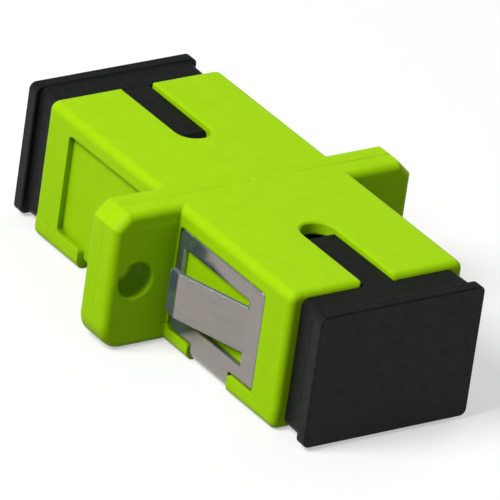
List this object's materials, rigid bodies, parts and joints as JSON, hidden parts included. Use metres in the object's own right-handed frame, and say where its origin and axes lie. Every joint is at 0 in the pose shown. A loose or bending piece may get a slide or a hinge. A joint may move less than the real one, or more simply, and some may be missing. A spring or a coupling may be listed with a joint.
{
  "type": "sc fibre adapter",
  "caption": "Flanged simplex fibre-optic through adapter with key slots, a folded steel spring clip, inner holders, a split sleeve and a plug-in dust cap at each end.",
  "frame": {"origin": "centre of the adapter, where its optical axis crosses the weld plane of the flange", "axes": "+Y along the optical axis towards the port without the spring clip, +Z towards the side with the key slots, +X across the wide side"},
  "size_m": [0.022, 0.0324, 0.0094],
  "materials": {
    "housing": "moulded, satin",
    "inner": "moulded, black",
    "sleeve": "ground white ceramic",
    "clip": "rolled stainless sheet",
    "cap": "matte black"
  },
  "bodies": {
    "adapter": {"front_housing": "housing", "rear_housing": "housing", "front_inner_holder": "inner", "rear_inner_holder": "inner", "alignment_sleeve": "sleeve", "mounting_clip": "clip"},
    "front_cap": {"front_dust_cap": "cap"},
    "rear_cap": {"rear_dust_cap": "cap"}
  },
  "joints": [
    {"name": "front_cap_pull", "type": "slide", "parent": "adapter", "child": "front_cap", "axis": [0, -1, 0], "range_m": [0, 0.03]},
    {"name": "rear_cap_pull", "type": "slide", "parent": "adapter", "child": "rear_cap", "axis": [0, 1, 0], "range_m": [0, 0.03]}
  ]
}
